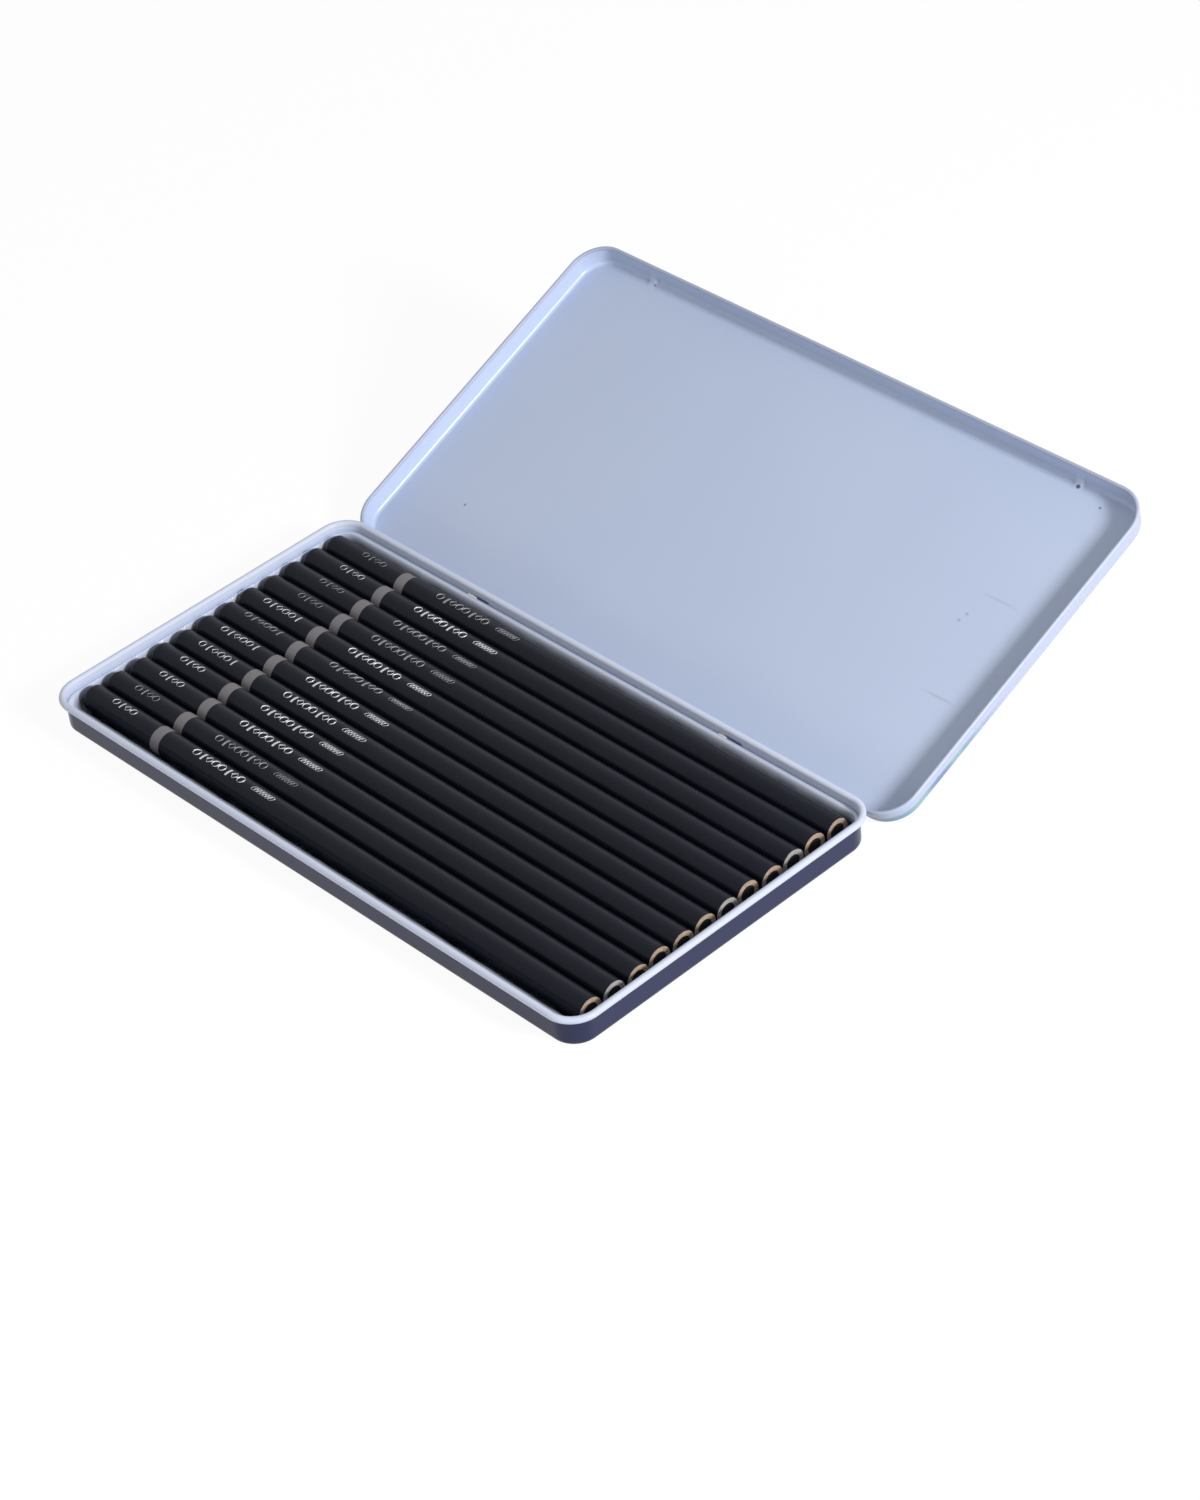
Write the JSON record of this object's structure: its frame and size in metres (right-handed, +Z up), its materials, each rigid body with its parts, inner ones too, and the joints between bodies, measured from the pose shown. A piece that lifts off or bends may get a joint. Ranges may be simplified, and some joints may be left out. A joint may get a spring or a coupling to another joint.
{
  "type": "pencil tin",
  "caption": "Shallow rectangular tin with a hinged lid standing open, and a formed tray that holds a row of round charcoal pencils.",
  "frame": {"origin": "centre of the base's underside, on the table", "axes": "+X along the pencils towards their cut ends, +Y towards the hinge, +Z up"},
  "size_m": [0.192, 0.1954, 0.0448],
  "materials": {
    "base_tinplate": "gloss lacquered tinplate, dark printed outside",
    "lid_tinplate": "gloss lacquered tinplate",
    "tray_plastic": "gloss",
    "black_lacquer": "satin lacquer on wood",
    "charcoal": "matt charcoal"
  },
  "bodies": {
    "base": {"base_shell": "base_tinplate"},
    "lid": {"lid_shell": "lid_tinplate"},
    "tray": {"pencil_tray": "tray_plastic"},
    "pencil_01": {"pencil_casing_01": "black_lacquer", "pencil_core_01": "charcoal"},
    "pencil_02": {"pencil_casing_02": "black_lacquer", "pencil_core_02": "charcoal"},
    "pencil_03": {"pencil_casing_03": "black_lacquer", "pencil_core_03": "charcoal"},
    "pencil_04": {"pencil_casing_04": "black_lacquer", "pencil_core_04": "charcoal"},
    "pencil_05": {"pencil_casing_05": "black_lacquer", "pencil_core_05": "charcoal"},
    "pencil_06": {"pencil_casing_06": "black_lacquer", "pencil_core_06": "charcoal"},
    "pencil_07": {"pencil_casing_07": "black_lacquer", "pencil_core_07": "charcoal"},
    "pencil_08": {"pencil_casing_08": "black_lacquer", "pencil_core_08": "charcoal"},
    "pencil_09": {"pencil_casing_09": "black_lacquer", "pencil_core_09": "charcoal"},
    "pencil_10": {"pencil_casing_10": "black_lacquer", "pencil_core_10": "charcoal"},
    "pencil_11": {"pencil_casing_11": "black_lacquer", "pencil_core_11": "charcoal"},
    "pencil_12": {"pencil_casing_12": "black_lacquer", "pencil_core_12": "charcoal"}
  },
  "joints": [
    {"name": "lid_hinge", "type": "hinge", "parent": "base", "child": "lid", "pos_m": [0, 0.05045, 0.0047], "axis": [-1, 0, 0], "range_deg": [-157, 0]},
    {"name": "tray_lift", "type": "slide", "parent": "base", "child": "tray", "axis": [0, 0, 1], "range_m": [0, 0.014]},
    {"name": "pencil_01_lift", "type": "slide", "parent": "tray", "child": "pencil_01", "axis": [0, 0, 1], "range_m": [0, 0.012]},
    {"name": "pencil_02_lift", "type": "slide", "parent": "tray", "child": "pencil_02", "axis": [0, 0, 1], "range_m": [0, 0.012]},
    {"name": "pencil_03_lift", "type": "slide", "parent": "tray", "child": "pencil_03", "axis": [0, 0, 1], "range_m": [0, 0.012]},
    {"name": "pencil_04_lift", "type": "slide", "parent": "tray", "child": "pencil_04", "axis": [0, 0, 1], "range_m": [0, 0.012]},
    {"name": "pencil_05_lift", "type": "slide", "parent": "tray", "child": "pencil_05", "axis": [0, 0, 1], "range_m": [0, 0.012]},
    {"name": "pencil_06_lift", "type": "slide", "parent": "tray", "child": "pencil_06", "axis": [0, 0, 1], "range_m": [0, 0.012]},
    {"name": "pencil_07_lift", "type": "slide", "parent": "tray", "child": "pencil_07", "axis": [0, 0, 1], "range_m": [0, 0.012]},
    {"name": "pencil_08_lift", "type": "slide", "parent": "tray", "child": "pencil_08", "axis": [0, 0, 1], "range_m": [0, 0.012]},
    {"name": "pencil_09_lift", "type": "slide", "parent": "tray", "child": "pencil_09", "axis": [0, 0, 1], "range_m": [0, 0.012]},
    {"name": "pencil_10_lift", "type": "slide", "parent": "tray", "child": "pencil_10", "axis": [0, 0, 1], "range_m": [0, 0.012]},
    {"name": "pencil_11_lift", "type": "slide", "parent": "tray", "child": "pencil_11", "axis": [0, 0, 1], "range_m": [0, 0.012]},
    {"name": "pencil_12_lift", "type": "slide", "parent": "tray", "child": "pencil_12", "axis": [0, 0, 1], "range_m": [0, 0.012]}
  ]
}
